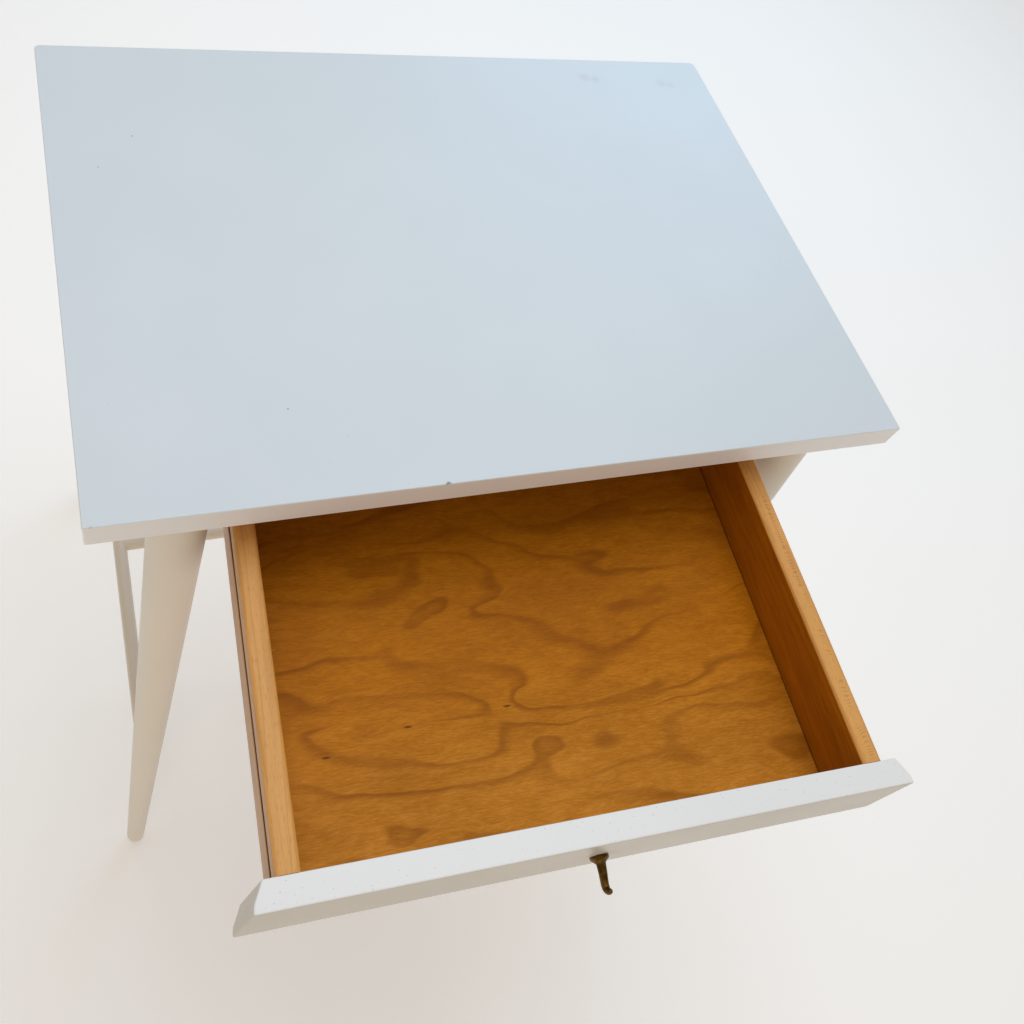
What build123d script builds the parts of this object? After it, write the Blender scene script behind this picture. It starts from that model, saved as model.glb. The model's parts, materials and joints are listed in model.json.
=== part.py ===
from build123d import *
from math import hypot
import os

os.makedirs("parts", exist_ok=True)

# Small four-legged drawing table with one wide shallow drawer.
# Built in millimetres on its own axes: X across the table from its middle, Y back from the front
# edge of the top, Z up from the floor.  The drawer stands open and a little askew.
# At the end everything is moved so that the origin is the middle of the whole outline, on the floor.

# Top board
TOP_WIDTH = 610.0
TOP_DEPTH = 440.0
TOP_THICKNESS = 21.5
TABLE_HEIGHT = 724.0
FRONT_CORNER_RADIUS = 1.5
BACK_CORNER_RADIUS = 4.5
TOP_EDGE_RADIUS = 0.9
UNDERSIDE = TABLE_HEIGHT - TOP_THICKNESS

# Battens across the underside: they carry the legs and hold the top flat
BATTEN_THICKNESS = 19.0
BATTEN_LENGTH = 552.0
FRONT_BATTEN_Y = (12.0, 82.0)
BACK_BATTEN_Y = (370.0, 428.0)
BATTEN_FOOT = UNDERSIDE - BATTEN_THICKNESS
BATTEN_EDGE_RADIUS = 2.0

# Legs: round, tapered, leaning outwards both ways
LEG_TOP_INSET_X = 63.1
LEG_TOP_INSET_Y = 36.4
LEG_FOOT_INSET_X = 9.4
LEG_FOOT_INSET_Y = -17.2
LEG_TOP_RADIUS = 21.5
LEG_FOOT_RADIUS = 9.3
LEG_FOOT_ROUNDING = 3.5
LEG_TENON_RADIUS = 11.0
LEG_TENON_LENGTH = 17.0
GLUE_GAP = 0.05

# Domed glides nailed into the feet
GLIDE_RADIUS = 7.5
GLIDE_HEIGHT = 3.0
GLIDE_NAIL_RADIUS = 1.2
GLIDE_NAIL_LENGTH = 16.0

# Stretchers between the legs
STRETCHER_RADIUS = 7.2
STRETCHER_HEIGHT = 227.0
STRETCHER_IN_LEG = 9.0
CROSS_STRETCHER_Y = 243.5
CROSS_TENON_RADIUS = 4.0
CROSS_TENON_LENGTH = 4.5

# Side rails under the battens, and the runner strips the drawer hangs on
RAIL_INNER_X = 210.5
RAIL_THICKNESS = 12.0
RAIL_HEIGHT = 44.0
RAIL_Y = (58.0, 393.0)
RUNNER_REACH = 8.5
RUNNER_HEIGHT = 11.0
RUNNER_Y = (70.0, 372.0)
RUNNER_LEAD_IN = 4.0

# Drawer, straight on its own axes: Y 0 is the stop peg near its back
DRAWER_OPEN = 238.2
DRAWER_YAW = 2.884
DRAWER_TOP = BATTEN_FOOT - 3.0
PEG_TO_FACE = 364.0
CLOSED_SETBACK = 1.7
PEG_Y = PEG_TO_FACE + CLOSED_SETBACK - DRAWER_OPEN

FRONT_THICKNESS = 18.0
FRONT_HEIGHT = 69.5
FRONT_HALF_LENGTH = 220.5
FRONT_HALF_LENGTH_BACK = 214.0
FRONT_END_FLAT = 5.0
FRONT_END_SPLAY = 7.8
FRONT_KNEE_RADIUS = 9.0
FRONT_EDGE_RADIUS = 0.9

# The drawer's box sits a little left of the middle of its front, and its rails with it
BOX_OFFSET = -2.0
BOX_HALF_WIDTH = 205.0
BOX_HEIGHT = 66.5
SIDE_THICKNESS = 15.0
SIDE_EDGE_RADIUS = 3.0
SIDE_LENGTH = 353.0
BACK_THICKNESS = 14.0
BACK_BELOW_TOP = 3.0
INSIDE_DEPTH = 52.0
BOTTOM_THICKNESS = 5.5
BOTTOM_LET_IN = 5.0
BOTTOM_GROOVE_GAP = 0.1
SIDE_GROOVE_TOP = 18.0
SIDE_GROOVE_HEIGHT = 12.0
SIDE_GROOVE_DEPTH = 8.0

PEG_RADIUS = 4.0
PEG_HOLE_GAP = 0.05
PEG_LENGTH = 39.0
PEG_IN_BACK = 25.0

DOWEL_RADIUS = 3.0
DOWEL_LENGTH = 24.0
DOWEL_IN_FRONT = 9.0
DOWEL_DEPTHS = (9.5, 44.0)
PIN_RADIUS = 0.9
PIN_LENGTH = 32.0
PIN_DEPTHS = (10.0, 40.0)

# Hook pull with a rosette behind it
PULL_BELOW_TOP = 39.5
ROSETTE_RADIUS = 6.3
ROSETTE_THICKNESS = 2.4
COLLAR_RADIUS = 5.0
COLLAR_NECK_RADIUS = 3.5
COLLAR_THICKNESS = 2.4
PULL_SHANK_RADIUS = 2.0
PULL_SHANK_LENGTH = 14.0
# Distance out from the collar, rise and radius along the hook
HOOK_SECTIONS = (
    (0.0, 0.0, 3.1),
    (4.5, -0.7, 2.9),
    (9.0, -2.0, 2.7),
    (12.8, -2.8, 2.6),
    (15.6, -1.8, 2.5),
    (17.1, 0.6, 2.3),
    (17.5, 2.9, 2.0),
)
HOOK_BALL_RADIUS = 2.4

# Screws
SCREW_RADIUS = 1.9
SCREW_HEAD_RADIUS = 3.7
SCREW_GAP = 0.1
SLOT_WIDTH = 1.0
SLOT_DEPTH = 0.9


def block(x_range, y_range, z_range):
    """Box between two limits along each axis."""
    (x0, x1), (y0, y1), (z0, z1) = x_range, y_range, z_range
    size = Box(x1 - x0, y1 - y0, z1 - z0)
    return Pos((x0 + x1) / 2, (y0 + y1) / 2, (z0 + z1) / 2) * size


def rod(start, end, radius):
    """Round bar between two points."""
    path = Vector(*end) - Vector(*start)
    return extrude(Plane(origin=start, z_dir=path) * Circle(radius), path.length)


def edges_along(part, axis):
    return part.edges().filter_by(axis)


def screw(tip_direction, head_point, length):
    """Countersunk slotted screw with its head face centred at head_point."""
    cone = SCREW_HEAD_RADIUS - SCREW_RADIUS
    profile = Polyline(
        (0, 0), (SCREW_HEAD_RADIUS, 0), (SCREW_RADIUS, cone),
        (SCREW_RADIUS, length - 2 * SCREW_RADIUS), (0, length), close=True,
    )
    body = revolve(Plane.XZ * make_face(profile), Axis.Z)
    slot = Box(2 * SCREW_HEAD_RADIUS, SLOT_WIDTH, 2 * SLOT_DEPTH)
    return Plane(origin=head_point, z_dir=tip_direction) * (body - slot)


def screw_hole(tip_direction, head_point, length):
    """Room for one screw: countersink, shank hole and pilot hole in a single cutter."""
    wide = SCREW_HEAD_RADIUS + SCREW_GAP
    narrow = SCREW_RADIUS + SCREW_GAP
    profile = Polyline(
        (0, -0.5), (wide, -0.5), (wide, 0), (narrow, wide - narrow),
        (narrow, length + 0.5), (0, length + 0.5), close=True,
    )
    body = revolve(Plane.XZ * make_face(profile), Axis.Z)
    return Plane(origin=head_point, z_dir=tip_direction) * body


def cut_all(part, cutters):
    for cutter in cutters:
        part = part - cutter
    return part


def leg_point(side, end, height):
    """Point on a leg's axis.  side is -1 left or 1 right, end is -1 front or 1 back."""
    rise = height / UNDERSIDE
    inset_x = LEG_FOOT_INSET_X + rise * (LEG_TOP_INSET_X - LEG_FOOT_INSET_X)
    inset_y = LEG_FOOT_INSET_Y + rise * (LEG_TOP_INSET_Y - LEG_FOOT_INSET_Y)
    x = side * (TOP_WIDTH / 2 - inset_x)
    y = inset_y if end < 0 else TOP_DEPTH - inset_y
    return Vector(x, y, height)


def leg_radius(height):
    return LEG_FOOT_RADIUS + height / UNDERSIDE * (LEG_TOP_RADIUS - LEG_FOOT_RADIUS)


# Pieces that belong together, by node name
nodes = {}
drawer_nodes = {}

LEG_CORNERS = {
    "front_left": (-1, -1),
    "front_right": (1, -1),
    "back_left": (-1, 1),
    "back_right": (1, 1),
}
SPLAY_X = LEG_TOP_INSET_X - LEG_FOOT_INSET_X
SPLAY_Y = LEG_TOP_INSET_Y - LEG_FOOT_INSET_Y
STRETCHER_X = abs(leg_point(1, -1, STRETCHER_HEIGHT).X)
STRETCHER_END_Y = leg_point(1, -1, STRETCHER_HEIGHT).Y + leg_radius(STRETCHER_HEIGHT) - STRETCHER_IN_LEG

# The glide's dome is part of a sphere whose lowest point stands on the floor
DOME_RADIUS = (GLIDE_RADIUS ** 2 + GLIDE_HEIGHT ** 2) / (2 * GLIDE_HEIGHT)


def leg_plane(side, end):
    """Plane square to a leg at the centre of its glide's dome, facing up the leg."""
    foot = leg_point(side, end, DOME_RADIUS)
    return Plane(origin=foot, z_dir=leg_point(side, end, UNDERSIDE) - foot)


def make_leg(side, end):
    """Tapered leg with a rounded foot, a tenon at its head and a socket for its stretcher."""
    plane = leg_plane(side, end)
    foot = GLIDE_HEIGHT - DOME_RADIUS
    head = hypot(UNDERSIDE, hypot(SPLAY_X, SPLAY_Y))
    profile = Polyline(
        (0, foot), (LEG_FOOT_RADIUS, foot), (LEG_TOP_RADIUS, head), (0, head), close=True,
    )
    shape = revolve(Plane.XZ * make_face(profile), Axis.Z)
    foot_edge = shape.edges().filter_by(GeomType.CIRCLE).sort_by(Axis.Z)[0]
    shape = plane * fillet(foot_edge, LEG_FOOT_ROUNDING)
    above = Pos(0, 0, BATTEN_FOOT + 50) * Box(2000, 2000, 100)
    tenon = rod(
        leg_point(side, end, BATTEN_FOOT - 15), leg_point(side, end, UNDERSIDE + 20),
        LEG_TENON_RADIUS - GLUE_GAP,
    )
    above_tenon = Pos(0, 0, BATTEN_FOOT + LEG_TENON_LENGTH + 50) * Box(2000, 2000, 100)
    shape = (shape - above) + (tenon - above_tenon)
    socket = rod(
        (side * STRETCHER_X, STRETCHER_END_Y - 0.3, STRETCHER_HEIGHT),
        (side * STRETCHER_X, TOP_DEPTH - STRETCHER_END_Y + 0.3, STRETCHER_HEIGHT),
        STRETCHER_RADIUS + GLUE_GAP,
    )
    nail_hole = plane * extrude(
        Plane.XY.offset(foot) * Circle(GLIDE_NAIL_RADIUS + GLUE_GAP), GLIDE_NAIL_LENGTH + 0.5
    )
    return shape - socket - nail_hole


def make_glide(side, end):
    """Domed metal glide with its nail, square to the leg."""
    flat = GLIDE_HEIGHT - DOME_RADIUS
    below = Pos(0, 0, flat - DOME_RADIUS) * Box(4 * DOME_RADIUS, 4 * DOME_RADIUS, 2 * DOME_RADIUS)
    dome = Sphere(DOME_RADIUS) & below
    nail = extrude(Plane.XY.offset(flat) * Circle(GLIDE_NAIL_RADIUS), GLIDE_NAIL_LENGTH)
    return leg_plane(side, end) * (dome + nail)


for corner, (side, end) in LEG_CORNERS.items():
    nodes["leg_" + corner] = make_leg(side, end)
nodes["foot_glides"] = Compound(
    children=[make_glide(side, end) for side, end in LEG_CORNERS.values()]
)

# Stretchers
for name, side in (("left", -1), ("right", 1)):
    bar = rod(
        (side * STRETCHER_X, STRETCHER_END_Y, STRETCHER_HEIGHT),
        (side * STRETCHER_X, TOP_DEPTH - STRETCHER_END_Y, STRETCHER_HEIGHT),
        STRETCHER_RADIUS,
    )
    mortice = rod(
        (side * (STRETCHER_X - 2 * STRETCHER_RADIUS), CROSS_STRETCHER_Y, STRETCHER_HEIGHT),
        (
            side * (STRETCHER_X - STRETCHER_RADIUS + CROSS_TENON_LENGTH + 0.3),
            CROSS_STRETCHER_Y, STRETCHER_HEIGHT,
        ),
        CROSS_TENON_RADIUS + GLUE_GAP,
    )
    nodes["stretcher_" + name] = bar - mortice

cross_bar = rod(
    (-STRETCHER_X, CROSS_STRETCHER_Y, STRETCHER_HEIGHT),
    (STRETCHER_X, CROSS_STRETCHER_Y, STRETCHER_HEIGHT),
    STRETCHER_RADIUS - GLUE_GAP,
)
for side in (-1, 1):
    cross_bar = cross_bar - rod(
        (side * STRETCHER_X, 0, STRETCHER_HEIGHT),
        (side * STRETCHER_X, TOP_DEPTH, STRETCHER_HEIGHT),
        STRETCHER_RADIUS + GLUE_GAP,
    )
CROSS_REACH = STRETCHER_X - STRETCHER_RADIUS + CROSS_TENON_LENGTH
nodes["stretcher_cross"] = cross_bar + rod(
    (-CROSS_REACH, CROSS_STRETCHER_Y, STRETCHER_HEIGHT),
    (CROSS_REACH, CROSS_STRETCHER_Y, STRETCHER_HEIGHT),
    CROSS_TENON_RADIUS,
)

# Screw positions: head point, direction and length
BATTEN_SCREW_LENGTH = 30.0
BATTEN_SCREWS = [
    ((x, y, BATTEN_FOOT), (0, 0, 1), BATTEN_SCREW_LENGTH)
    for y in (47.0, 399.0)
    for x in (-170.0, -60.0, 60.0, 170.0)
]
RAIL_COUNTERBORE_DEPTH = 26.0
RAIL_SCREW_LENGTH = 32.0
RAIL_MIDDLE_X = RAIL_INNER_X + RAIL_THICKNESS / 2
RAIL_FOOT = BATTEN_FOOT - RAIL_HEIGHT
RAIL_HEAD_Z = RAIL_FOOT + RAIL_COUNTERBORE_DEPTH


def rail_x(side, distance):
    """X of a point this far out from the middle of the drawer's box."""
    return BOX_OFFSET + side * distance


RAIL_SCREWS = [
    ((rail_x(side, RAIL_MIDDLE_X), y, RAIL_HEAD_Z), (0, 0, 1), RAIL_SCREW_LENGTH)
    for side in (-1, 1)
    for y in (70.0, 382.0)
]
RUNNER_TOP = DRAWER_TOP - SIDE_GROOVE_TOP - (SIDE_GROOVE_HEIGHT - RUNNER_HEIGHT) / 2
RUNNER_SCREW_LENGTH = 18.0
RUNNER_SCREWS = [
    (
        (rail_x(side, RAIL_INNER_X - RUNNER_REACH), y, RUNNER_TOP - RUNNER_HEIGHT / 2),
        (side, 0, 0), RUNNER_SCREW_LENGTH,
    )
    for side in (-1, 1)
    for y in (95.0, 221.0, 347.0)
]


def screws(places):
    return Compound(children=[screw(direction, head, length) for head, direction, length in places])


def screw_holes(places):
    return [screw_hole(direction, head, length) for head, direction, length in places]


nodes["batten_screws"] = screws(BATTEN_SCREWS)
nodes["rail_screws"] = screws(RAIL_SCREWS)
nodes["runner_screws"] = screws(RUNNER_SCREWS)

# Top
half_width = TOP_WIDTH / 2
top = block((-half_width, half_width), (0, TOP_DEPTH), (UNDERSIDE, TABLE_HEIGHT))
top = fillet(edges_along(top, Axis.Z).group_by(Axis.Y)[0], FRONT_CORNER_RADIUS)
top = fillet(edges_along(top, Axis.Z).group_by(Axis.Y)[-1], BACK_CORNER_RADIUS)
rims = top.faces().filter_by(Axis.Z).edges()
top = fillet(rims, TOP_EDGE_RADIUS)
nodes["table_top"] = cut_all(top, screw_holes(BATTEN_SCREWS))

# Battens
for name, y_range in (("front", FRONT_BATTEN_Y), ("back", BACK_BATTEN_Y)):
    end = -1 if name == "front" else 1
    batten = block(
        (-BATTEN_LENGTH / 2, BATTEN_LENGTH / 2), y_range, (BATTEN_FOOT, UNDERSIDE)
    )
    batten = fillet(batten.faces().sort_by(Axis.Z)[0].edges(), BATTEN_EDGE_RADIUS)
    for side in (-1, 1):
        mortice = rod(
            leg_point(side, end, BATTEN_FOOT - 15), leg_point(side, end, UNDERSIDE + 20),
            LEG_TENON_RADIUS,
        )
        roof = Pos(0, 0, BATTEN_FOOT + LEG_TENON_LENGTH + 0.5 + 50) * Box(2000, 2000, 100)
        batten = batten - (mortice - roof)
    nodes["batten_" + name] = cut_all(batten, screw_holes(BATTEN_SCREWS + RAIL_SCREWS))

# Side rails and runner strips
for name, side in (("left", -1), ("right", 1)):
    inner = rail_x(side, RAIL_INNER_X)
    outer = rail_x(side, RAIL_INNER_X + RAIL_THICKNESS)
    rail = block(sorted((inner, outer)), RAIL_Y, (RAIL_FOOT, BATTEN_FOOT))
    counterbores = [
        rod((head[0], head[1], RAIL_FOOT - 1), head, SCREW_HEAD_RADIUS + SCREW_GAP)
        for head, direction, length in RAIL_SCREWS
    ]
    nodes["rail_" + name] = cut_all(
        rail, counterbores + screw_holes(RAIL_SCREWS + RUNNER_SCREWS)
    )
    tip = rail_x(side, RAIL_INNER_X - RUNNER_REACH)
    runner = block(sorted((inner, tip)), RUNNER_Y, (RUNNER_TOP - RUNNER_HEIGHT, RUNNER_TOP))
    lead_edges = edges_along(runner, Axis.Z).sort_by(Axis.X)
    lead_edges = lead_edges[2:] if side < 0 else lead_edges[:2]
    runner = chamfer(lead_edges, RUNNER_LEAD_IN)
    nodes["runner_" + name] = cut_all(runner, screw_holes(RUNNER_SCREWS))

# Drawer front: its ends lean out with the legs and are eased back behind the face
FACE_Y = -PEG_TO_FACE
FRONT_BACK_Y = FACE_Y + FRONT_THICKNESS
FRONT_FOOT = DRAWER_TOP - FRONT_HEIGHT


def front_outline(height, extra):
    """Plan of the drawer front at one height, with its ends moved out by extra."""
    half_face = FRONT_HALF_LENGTH + extra
    half_back = FRONT_HALF_LENGTH_BACK + extra
    knee_y = FACE_Y + FRONT_END_FLAT
    half_knee = half_face - 0.4
    outline = Polyline(
        (-half_face, FACE_Y), (half_face, FACE_Y), (half_knee, knee_y), (half_back, FRONT_BACK_Y),
        (-half_back, FRONT_BACK_Y), (-half_knee, knee_y), close=True,
    )
    return Plane.XY.offset(height) * make_face(outline)


def end_knee(edge):
    """True for the upright edges part-way round the ends of the drawer front."""
    middle = edge.center()
    return abs(middle.Z - (DRAWER_TOP + FRONT_FOOT) / 2) < 1 and abs(
        middle.Y - FACE_Y - FRONT_END_FLAT
    ) < 0.5


front = loft([front_outline(FRONT_FOOT, FRONT_END_SPLAY), front_outline(DRAWER_TOP, 0)], ruled=True)
front = fillet(front.edges().filter_by(end_knee), FRONT_KNEE_RADIUS)
front = fillet(front.edges().group_by(Axis.Z)[-1], FRONT_EDGE_RADIUS)
front = fillet(front.edges().group_by(Axis.Z)[0], FRONT_EDGE_RADIUS)

INSIDE_FLOOR = DRAWER_TOP - INSIDE_DEPTH
BOTTOM_FOOT = INSIDE_FLOOR - BOTTOM_THICKNESS
INSIDE_HALF_WIDTH = BOX_HALF_WIDTH - SIDE_THICKNESS
DRAWER_BACK_Y = BACK_THICKNESS / 2
BACK_FRONT_Y = -BACK_THICKNESS / 2
BOTTOM_HALF_WIDTH = INSIDE_HALF_WIDTH + BOTTOM_LET_IN - 0.3
BOTTOM_FRONT_Y = FRONT_BACK_Y - BOTTOM_LET_IN + 0.3
bottom_groove = block(
    (-INSIDE_HALF_WIDTH - BOTTOM_LET_IN, INSIDE_HALF_WIDTH + BOTTOM_LET_IN),
    (FRONT_BACK_Y - BOTTOM_LET_IN, DRAWER_BACK_Y + 1),
    (BOTTOM_FOOT - BOTTOM_GROOVE_GAP, INSIDE_FLOOR + BOTTOM_GROOVE_GAP),
)

# Pieces of the drawer's box, made about the box's own middle and moved over at the end
box_nodes = {}
box_place = Pos(BOX_OFFSET, 0, 0)

# Dowels join the sides to the front, pins join them to the back
SIDE_MIDDLE_X = BOX_HALF_WIDTH - SIDE_THICKNESS / 2
dowel_places = [
    (side * SIDE_MIDDLE_X, DRAWER_TOP - depth) for side in (-1, 1) for depth in DOWEL_DEPTHS
]
pin_places = [(side, DRAWER_TOP - depth) for side in (-1, 1) for depth in PIN_DEPTHS]
dowel_front_y = FRONT_BACK_Y - DOWEL_IN_FRONT


def dowel(x, z, grow):
    """Dowel, or with grow above 0 the hole for one."""
    return rod(
        (x, dowel_front_y - grow, z), (x, dowel_front_y + DOWEL_LENGTH + grow, z), DOWEL_RADIUS + grow
    )


def pin(side, z, grow):
    """Panel pin through a side into the back, or with grow above 0 the hole for one."""
    outside = side * (BOX_HALF_WIDTH - 0.2 + 20 * grow)
    inside = side * (BOX_HALF_WIDTH - 0.2 - PIN_LENGTH - grow)
    return rod((outside, 0, z), (inside, 0, z), PIN_RADIUS + grow)


dowel_holes = [dowel(x, z, GLUE_GAP) for x, z in dowel_places]
pin_holes = [pin(side, z, GLUE_GAP) for side, z in pin_places]
box_nodes["drawer_front_dowels"] = Compound(children=[dowel(x, z, 0) for x, z in dowel_places])
box_nodes["drawer_back_pins"] = Compound(children=[pin(side, z, 0) for side, z in pin_places])

PULL_Z = DRAWER_TOP - PULL_BELOW_TOP
pull_hole = rod(
    (0, FACE_Y - 2 * ROSETTE_THICKNESS, PULL_Z),
    (0, FACE_Y + PULL_SHANK_LENGTH + 0.5, PULL_Z),
    PULL_SHANK_RADIUS + GLUE_GAP,
)
box_cutters = [box_place * cutter for cutter in [bottom_groove] + dowel_holes]
drawer_nodes["drawer_front"] = cut_all(front, [pull_hole] + box_cutters)

# Drawer sides, with a groove outside for the runner and one inside for the bottom
for name, side in (("left", -1), ("right", 1)):
    outer = side * BOX_HALF_WIDTH
    inner = side * INSIDE_HALF_WIDTH
    groove_floor = side * (BOX_HALF_WIDTH - SIDE_GROOVE_DEPTH)
    panel = block(
        sorted((outer, inner)), (FRONT_BACK_Y, DRAWER_BACK_Y), (DRAWER_TOP - BOX_HEIGHT, DRAWER_TOP)
    )
    panel = fillet(edges_along(panel, Axis.Y).group_by(Axis.Z)[-1], SIDE_EDGE_RADIUS)
    groove_top = DRAWER_TOP - SIDE_GROOVE_TOP
    groove = block(
        sorted((groove_floor, outer + side)), (FRONT_BACK_Y - 1, DRAWER_BACK_Y + 1),
        (groove_top - SIDE_GROOVE_HEIGHT, groove_top),
    )
    box_nodes["drawer_side_" + name] = cut_all(
        panel, [groove, bottom_groove] + dowel_holes + pin_holes
    )

# Drawer back stands on the bottom and carries the stop peg
BOTTOM_SCREW_LENGTH = 22.0
BOTTOM_SCREWS = [((x, 0, BOTTOM_FOOT), (0, 0, 1), BOTTOM_SCREW_LENGTH) for x in (-120.0, 120.0)]
BACK_TOP = DRAWER_TOP - BACK_BELOW_TOP
back = block(
    (-INSIDE_HALF_WIDTH, INSIDE_HALF_WIDTH), (BACK_FRONT_Y, DRAWER_BACK_Y), (INSIDE_FLOOR, BACK_TOP)
)
back = fillet(edges_along(back, Axis.X).group_by(Axis.Z)[-1], 1.5)
peg_hole = rod(
    (-BOX_OFFSET, 0, BACK_TOP - PEG_IN_BACK), (-BOX_OFFSET, 0, BACK_TOP + 1), PEG_RADIUS + PEG_HOLE_GAP
)
box_nodes["drawer_back"] = cut_all(back, [peg_hole] + pin_holes + screw_holes(BOTTOM_SCREWS))
box_nodes["drawer_bottom"] = cut_all(
    block(
        (-BOTTOM_HALF_WIDTH, BOTTOM_HALF_WIDTH), (BOTTOM_FRONT_Y, DRAWER_BACK_Y),
        (BOTTOM_FOOT, INSIDE_FLOOR),
    ),
    screw_holes(BOTTOM_SCREWS),
)
box_nodes["drawer_bottom_screws"] = screws(BOTTOM_SCREWS)
for name, piece in box_nodes.items():
    drawer_nodes[name] = box_place * piece

# The stop peg stands on the middle line of the table, not of the box
peg_foot = BACK_TOP - PEG_IN_BACK + 0.5
peg = rod((0, 0, peg_foot), (0, 0, peg_foot + PEG_LENGTH), PEG_RADIUS)
drawer_nodes["stop_peg"] = chamfer(peg.edges().filter_by(GeomType.CIRCLE), 0.8)

# Hook pull
rosette = rod((0, FACE_Y, PULL_Z), (0, FACE_Y - ROSETTE_THICKNESS, PULL_Z), ROSETTE_RADIUS)
rosette_rim = rosette.edges().filter_by(GeomType.CIRCLE).group_by(Axis.Y)[0]
drawer_nodes["pull_rosette"] = fillet(rosette_rim, 0.8) - pull_hole
collar_y = FACE_Y - ROSETTE_THICKNESS
hook_y = collar_y - COLLAR_THICKNESS
collar = loft([
    Plane(origin=(0, collar_y, PULL_Z), z_dir=(0, -1, 0)) * Circle(COLLAR_RADIUS),
    Plane(origin=(0, hook_y, PULL_Z), z_dir=(0, -1, 0)) * Circle(COLLAR_NECK_RADIUS),
])
shank = rod((0, hook_y, PULL_Z), (0, FACE_Y + PULL_SHANK_LENGTH, PULL_Z), PULL_SHANK_RADIUS)


def hook_plane(index):
    """Plane square to the hook's curve at one of its sections."""
    reach, rise, radius = HOOK_SECTIONS[index]
    before = HOOK_SECTIONS[max(index - 1, 0)]
    after = HOOK_SECTIONS[min(index + 1, len(HOOK_SECTIONS) - 1)]
    heading = (0, before[0] - after[0], after[1] - before[1])
    if index == 0:
        heading = (0, -1, 0)
    return Plane(origin=(0, hook_y - reach, PULL_Z + rise), x_dir=(1, 0, 0), z_dir=heading)


hook = loft([hook_plane(i) * Circle(section[2]) for i, section in enumerate(HOOK_SECTIONS)])
tip_reach, tip_rise, tip_radius = HOOK_SECTIONS[-1]
tip_ball = Pos(0, hook_y - tip_reach, PULL_Z + tip_rise) * Sphere(HOOK_BALL_RADIUS)
drawer_nodes["pull_hook"] = collar + shank + hook + tip_ball

# Stand the drawer open: out along Y and turned about its stop peg
drawer_place = Pos(0, PEG_Y, 0) * Rot(0, 0, -DRAWER_YAW)
for name, piece in drawer_nodes.items():
    nodes[name] = drawer_place * piece

# Move everything to the middle of the outline on the floor, then write each node
front_y = nodes["pull_hook"].bounding_box().min.Y
back_y = nodes["leg_back_left"].bounding_box().max.Y
placing = Pos(0, -(front_y + back_y) / 2, 0)
for name, piece in nodes.items():
    placed = placing * piece
    placed.label = name
    export_step(placed, "parts/" + name + ".step")
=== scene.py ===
import json
import math

import bpy
from mathutils import Matrix, Vector, noise


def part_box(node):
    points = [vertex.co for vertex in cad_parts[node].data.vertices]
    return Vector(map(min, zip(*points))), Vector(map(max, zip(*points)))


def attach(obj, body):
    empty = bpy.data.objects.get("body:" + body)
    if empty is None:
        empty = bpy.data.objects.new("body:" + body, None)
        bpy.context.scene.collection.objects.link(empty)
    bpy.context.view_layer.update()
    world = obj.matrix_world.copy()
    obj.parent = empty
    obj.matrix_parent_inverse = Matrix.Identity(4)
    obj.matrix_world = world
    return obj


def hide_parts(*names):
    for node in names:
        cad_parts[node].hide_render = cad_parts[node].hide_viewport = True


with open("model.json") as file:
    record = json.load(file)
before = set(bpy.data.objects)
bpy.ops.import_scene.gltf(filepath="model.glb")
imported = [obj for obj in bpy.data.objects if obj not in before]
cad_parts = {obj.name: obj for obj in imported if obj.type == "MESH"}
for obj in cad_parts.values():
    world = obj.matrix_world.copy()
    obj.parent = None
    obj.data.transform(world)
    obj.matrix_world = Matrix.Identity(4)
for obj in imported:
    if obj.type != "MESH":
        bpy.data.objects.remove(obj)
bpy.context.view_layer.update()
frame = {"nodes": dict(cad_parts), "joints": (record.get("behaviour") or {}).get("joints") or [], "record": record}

MM = 0.001

# The drawer's own axes: the frame gives its pivot, and how far it is skewed at rest
behaviour = frame["record"]["behaviour"]
joints = {joint["name"]: joint for joint in frame["joints"]}
DRAWER_SKEW = behaviour["couplings"][0]["ratio"] * joints["drawer_slide"]["range_m"][1]
PEG = Vector(joints["drawer_skew"]["pos_m"])


# Sizes of the object, in millimetres
TOP_THICKNESS = 21.5
TABLE_HEIGHT = 724.0
FRONT_CORNER_RADIUS = 1.5
BACK_CORNER_RADIUS = 4.5
TOP_ARRIS = 0.7
FOOT_ARRIS = 1.3
UNDERSIDE = TABLE_HEIGHT - TOP_THICKNESS
BATTEN_FOOT = UNDERSIDE - 19.0

LEG_TOP_INSET = (63.1, 36.4)
LEG_FOOT_INSET = (9.4, -17.2)
LEG_TOP_RADIUS = 21.5
LEG_FOOT_RADIUS = 9.3
LEG_FOOT_ROUNDING = 3.5
LEG_TENON_RADIUS = 10.95
LEG_TENON_LENGTH = 17.0
GLIDE_RADIUS = 7.5
GLIDE_HEIGHT = 3.0
STRETCHER_RADIUS = 7.2

# The drawer's sizes are on its own axes, with the stop peg at the origin
DRAWER_TOP = BATTEN_FOOT - 3.0
FACE_Y = -364.0
FRONT_BACK_Y = FACE_Y + 18.0
FRONT_HEIGHT = 69.5
FRONT_HALF_LENGTH = 220.5
FRONT_HALF_LENGTH_BACK = 214.0
FRONT_END_FLAT = 5.0
FRONT_END_SPLAY = 7.8
FRONT_KNEE_RADIUS = 9.0
BOX_OFFSET = -2.0
BOX_HALF_WIDTH = 205.0
BOX_HEIGHT = 66.5
SIDE_THICKNESS = 15.0
SIDE_BACK_Y = 7.0
SIDE_TOP_ROUNDING = 3.0
SIDE_GROOVE_TOP = 18.0
SIDE_GROOVE_HEIGHT = 12.0
SIDE_GROOVE_DEPTH = 8.0
BOTTOM_GROOVE_TOP = 51.9
BOTTOM_GROOVE_HEIGHT = 5.7
BOTTOM_LET_IN = 5.0

PULL_Z = DRAWER_TOP - 39.5
ROSETTE_RADIUS = 6.3
ROSETTE_THICKNESS = 2.4
COLLAR_RADIUS = 5.8
COLLAR_THICKNESS = 2.4
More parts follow.
